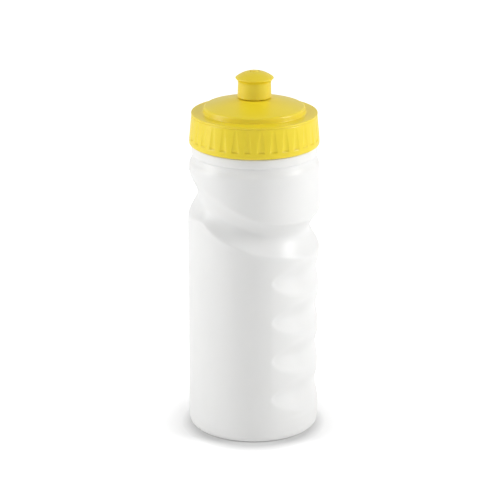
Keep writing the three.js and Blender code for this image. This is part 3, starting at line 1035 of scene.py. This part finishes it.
@dataclass
class CapSeal:
    """The flat sealing ring under the cap's plate, which reaches past the neck by its overhang."""

    outer: float
    bottom: float
    top: float
    inner: float = 26.2 * MM
    overhang: float = 1.5 * MM
    pressed_lines: tuple[float, ...] = (27.9 * MM, 29.1 * MM)
    line_half_width: float = 0.35 * MM
    line_depth: float = 0.12 * MM
    columns: int = 192

    def build(self, material: bpy.types.Material) -> bpy.types.Object:
        """Builds the ring, with two pressed lines on its face, and lets it ride on the seal's body.

        Args:
            material: The ring's foam.

        Returns:
            The ring.
        """
        lines: list[Corner] = []
        for radius in self.pressed_lines:
            lines += [Corner(radius - self.line_half_width, self.bottom, 0.15 * MM),
                      Corner(radius, self.bottom + self.line_depth, 0.2 * MM),
                      Corner(radius + self.line_half_width, self.bottom, 0.15 * MM)]
        profile = rounded_profile(
            [Corner(self.inner, self.bottom, 0.25 * MM), *lines, Corner(self.outer, self.bottom, 0.3 * MM),
             Corner(self.outer, self.top, 0.25 * MM), Corner(self.inner, self.top, 0.25 * MM)], 0.8 * MM)
        azimuth = np.linspace(0.0, 360.0, self.columns, endpoint=False)
        piece = loft("sealing_ring", np.array([place_rings(r, z, azimuth) for r, z in profile]), loop=True)
        piece.data.materials.append(material)
        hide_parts("cap_seal")
        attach(piece, Body.SEAL.value)
        return piece


@dataclass
class PushPullNozzle:
    """The mouthpiece: a slightly waisted stem, a sharp rim and a domed top with the drinking hole."""

    rim_radius: float
    foot: float
    top: float
    stem_bottom: float = 9.0 * MM
    stem_top: float = 8.75 * MM
    rim_height: float = 10.5 * MM
    dome: float = 3.6 * MM
    hole: float = 2.35 * MM
    roof: float = 2.0 * MM
    bore: float = 7.55 * MM
    bead_bore: float = 7.0 * MM
    columns: int = 160

    def profile(self) -> np.ndarray:
        """The closed profile, up the outside, over the dome and down the inside.

        Returns:
            Points as rows of radius and height.
        """
        rim = self.foot + self.rim_height
        edge = self.rim_radius - 0.15 * MM
        sphere = (edge**2 + self.dome**2) / (2 * self.dome)
        dome = [Corner(r, self.top - sphere + math.sqrt(sphere**2 - r**2))
                for r in np.linspace(edge, self.hole + 0.3 * MM, 12)]
        return rounded_profile([
            Corner(self.stem_bottom, self.foot, 0.45 * MM),
            Corner(self.stem_top, rim - 2.9 * MM, 1.2 * MM),
            Corner(self.stem_top + 0.2 * MM, rim - 1.5 * MM, 0.6 * MM),
            Corner(self.rim_radius, rim - 0.2 * MM, 0.25 * MM),
            *dome,
            Corner(self.hole, self.top - 0.5 * MM, 0.3 * MM),
            Corner(self.hole, self.top - self.roof, 0.2 * MM),
            Corner(self.bore, rim - 0.9 * MM, 0.6 * MM),
            Corner(self.bore, self.foot + 1.8 * MM, 0.3 * MM),
            Corner(self.bead_bore, self.foot + 1.3 * MM, 0.3 * MM),
            Corner(self.bead_bore, self.foot, 0.3 * MM),
        ], 0.5 * MM)

    def build(self, material: bpy.types.Material) -> bpy.types.Object:
        """Builds the nozzle and lets it ride on its body.

        Args:
            material: The nozzle's plastic.

        Returns:
            The nozzle.
        """
        azimuth = np.linspace(0.0, 360.0, self.columns, endpoint=False)
        rings = np.array([place_rings(r, z, azimuth) for r, z in self.profile()])
        piece = loft("mouthpiece", rings, loop=True)
        piece.data.materials.append(material)
        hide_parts("push_pull_nozzle")
        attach(piece, Body.NOZZLE.value)
        return piece


# --------------------------------------------------------------------------------------------------
# The studio
# --------------------------------------------------------------------------------------------------


@dataclass(frozen=True)
class Softbox:
    """A soft rectangular light aimed at the bottle, with angles in degrees and power in watts."""

    name: str
    azimuth: float
    elevation: float
    distance: float
    width: float
    height: float
    power: float

    def build(self, aim: Vector) -> None:
        """Makes the light.

        Args:
            aim: The point it faces.
        """
        turn, lift = math.radians(self.azimuth), math.radians(self.elevation)
        offset = Vector((math.sin(turn) * math.cos(lift), -math.cos(turn) * math.cos(lift), math.sin(lift)))
        light = bpy.data.lights.new(self.name, "AREA")
        light.shape = "RECTANGLE"
        light.size, light.size_y = self.width, self.height
        light.energy = self.power
        lamp = bpy.data.objects.new(self.name, light)
        lamp.location = aim + offset * self.distance
        lamp.rotation_euler = (-offset).to_track_quat("-Z", "Y").to_euler()
        bpy.context.scene.collection.objects.link(lamp)


@dataclass
class Studio:
    """The white table, the lights and the camera.

    The table is plain white but for a soft contact shadow painted round the bottle's foot. The camera sees
    it at floor_colour, greyed to shade_colour within the shade distance as painted shadow, and light bounces
    off it at bounce_colour. Beyond the contact distance it glows, reaching each strength in glows at that
    distance in glow_ends, and the bottle gets only lit_share of that glow. The glow keeps the far table white.
    Because it is held back near the foot, it is part of the painted shadow. The shadow and the glow are
    centred contact_shift in front of the bottle's axis.
    """

    aim: Vector = field(default_factory=lambda: Vector((-2.15 * MM, 0.0, 98.2 * MM)))
    elevation: float = 19.06
    distance: float = 1.025
    focal_length: float = 136.1
    roll: float = 0.14
    floor_size: float = 12.0
    floor_colour: float = 0.87
    bounce_colour: float = 0.91
    # shade_colour, shade and contact set the painted contact shadow on the table round the bottle's foot.
    shade_colour: float = 0.66
    shade: float = 33.0 * MM
    contact: float = 37.0 * MM
    contact_shift: float = 6.0 * MM
    lit_share: float = 0.36
    glow_ends: tuple[float, ...] = (40.5 * MM, 52.0 * MM, 0.7)
    glows: tuple[float, ...] = (0.16, 0.33, 0.63)
    front_light: float = 0.43
    side_light: float = 0.71
    back_light: float = 0.68
    top_dimming: float = 0.24

    def camera(self) -> None:
        """Places the camera in front of the bottle, looking down on it."""
        lift, roll = math.radians(self.elevation), math.radians(self.roll)
        forward = Vector((0.0, math.cos(lift), -math.sin(lift)))
        level = Vector((1.0, 0.0, 0.0))
        upright = level.cross(forward)
        right = level * math.cos(roll) + upright * math.sin(roll)
        up = upright * math.cos(roll) - level * math.sin(roll)
        lens = bpy.data.cameras.new("Camera")
        lens.sensor_width = 36.0
        lens.lens = self.focal_length
        lens.clip_start, lens.clip_end = 0.05, 50.0
        camera = bpy.data.objects.new("Camera", lens)
        turned = Matrix((right, up, -forward)).transposed().to_4x4()
        camera.matrix_world = Matrix.Translation(self.aim - forward * self.distance) @ turned
        bpy.context.scene.collection.objects.link(camera)
        bpy.context.scene.camera = camera

    def floor(self) -> None:
        """Makes the white table top with its painted soft contact shadow."""
        half = self.floor_size / 2
        corners = [(-half, -half, 0), (half, -half, 0), (half, half, 0), (-half, half, 0)]
        mesh = bpy.data.meshes.new("table_top")
        mesh.from_pydata(corners, [], [(0, 1, 2, 3)])
        table = bpy.data.objects.new("table_top", mesh)
        material = bpy.data.materials.new("White table")
        material.use_nodes = True
        build = NodeBuilder(material.node_tree)
        shader = material.node_tree.nodes["Principled BSDF"]
        seen = build.add("ShaderNodeLightPath").outputs["Is Camera Ray"]
        place = build.add("ShaderNodeTexCoord").outputs["Object"]
        shifted = build.add("ShaderNodeMapping", Vector=place, Location=(0.0, self.contact_shift, 0.0))
        length = build.add("ShaderNodeVectorMath", operation="LENGTH", Vector=shifted.outputs["Vector"])
        away = length.outputs["Value"]
        # Painted contact shadow: the grey the camera sees on the table darkens to shade_colour close round the
        # foot.
        painted_shadow_grey = build.remap(away, self.shade, self.contact, self.shade_colour, self.floor_colour)
        # Painted glow beyond the contact distance keeps the far table white. It stays off near the foot, where
        # the painted shadow shows.
        glow: Feed = 0.0
        start, reached = self.contact, 0.0
        for end, strength in zip(self.glow_ends, self.glows):
            glow = build.math("ADD", glow, build.remap(away, start, end, 0.0, strength - reached))
            start, reached = end, strength
        grey = build.add("ShaderNodeCombineColor", Red=painted_shadow_grey, Green=painted_shadow_grey, Blue=painted_shadow_grey)
        bounce = (self.bounce_colour, self.bounce_colour, self.bounce_colour, 1.0)
        build.feed(build.mix_colour(seen, bounce, grey.outputs["Color"]), shader.inputs["Base Color"])
        build.feed(0.9, shader.inputs["Roughness"])
        build.feed(0.0, shader.inputs["Specular IOR Level"])
        build.feed((1.0, 1.0, 1.0, 1.0), shader.inputs["Emission Color"])
        share = build.remap(seen, 0.0, 1.0, self.lit_share, 1.0)
        build.feed(build.math("MULTIPLY", share, glow), shader.inputs["Emission Strength"])
        mesh.materials.append(material)
        bpy.context.scene.collection.objects.link(table)

    def dome(self) -> bpy.types.World:
        """Makes the room's soft light: a dome that is brightest at the sides and dimmer overhead.

        Returns:
            The world.
        """
        world = bpy.data.worlds.new("Studio")
        world.use_nodes = True
        build = NodeBuilder(world.node_tree)
        backdrop = world.node_tree.nodes["Background"]
        towards = build.add("ShaderNodeTexCoord").outputs["Generated"]
        split = build.add("ShaderNodeSeparateXYZ", Vector=towards).outputs
        front = build.remap(split["Y"], -0.9, -0.1, self.front_light, self.side_light)
        back = build.remap(split["Y"], 0.1, 0.9, 0.0, self.side_light - self.back_light)
        build.feed((1.0, 1.0, 1.0, 1.0), backdrop.inputs["Color"])
        overhead = build.remap(split["Z"], 0.4, 1.0, 0.0, self.top_dimming)
        dimming = build.math("ADD", back, overhead)
        build.feed(build.math("SUBTRACT", front, dimming), backdrop.inputs["Strength"])
        return world

    def build(self) -> None:
        """Makes the camera, the floor, the room's soft light and the softboxes."""
        scene = bpy.context.scene
        scene.view_settings.view_transform = "Standard"
        self.camera()
        self.floor()
        scene.world = self.dome()
        for box in (
            Softbox("Left softbox", -84.0, 26.0, 0.8, 0.26, 0.8, 2.9),
            Softbox("Right softbox", 80.0, 29.0, 0.8, 0.26, 0.5, 3.1),
            Softbox("Front softbox", 0.0, 58.0, 0.9, 0.25, 0.15, 0.4),
        ):
            box.build(self.aim)


def main() -> None:
    """Builds the studio and the four pieces, and reports each piece."""
    logging.basicConfig(level=logging.INFO, format="%(name)s: %(message)s")
    Studio().build()
    skin, wear = moulded_skin_group(), handling_wear_group()
    body_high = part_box("bottle_body")[1]
    cap_low, cap_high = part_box("screw_cap")
    seal_low, seal_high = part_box("cap_seal")
    nozzle_low, nozzle_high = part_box("push_pull_nozzle")
    neck_radius = seal_high.x - CapSeal.overhang
    makers = (
        (BottleBody(body_high.x, neck_radius + BottleBody.neck_overhang, body_high.z), MILKY_POLYETHYLENE),
        (ScrewCap(cap_high.x, cap_low.z, cap_high.z), YELLOW_POLYPROPYLENE),
        (CapSeal(seal_high.x, seal_low.z, seal_high.z), SEAL_FOAM),
        (PushPullNozzle(nozzle_high.x, nozzle_low.z, nozzle_high.z), YELLOW_NOZZLE),
    )
    for maker, finish in makers:
        piece = maker.build(finish.material(skin, wear))
        log.info("%s: %d faces, %s", piece.name, len(piece.data.polygons), finish.name)


if __name__ == "__main__":
    main()
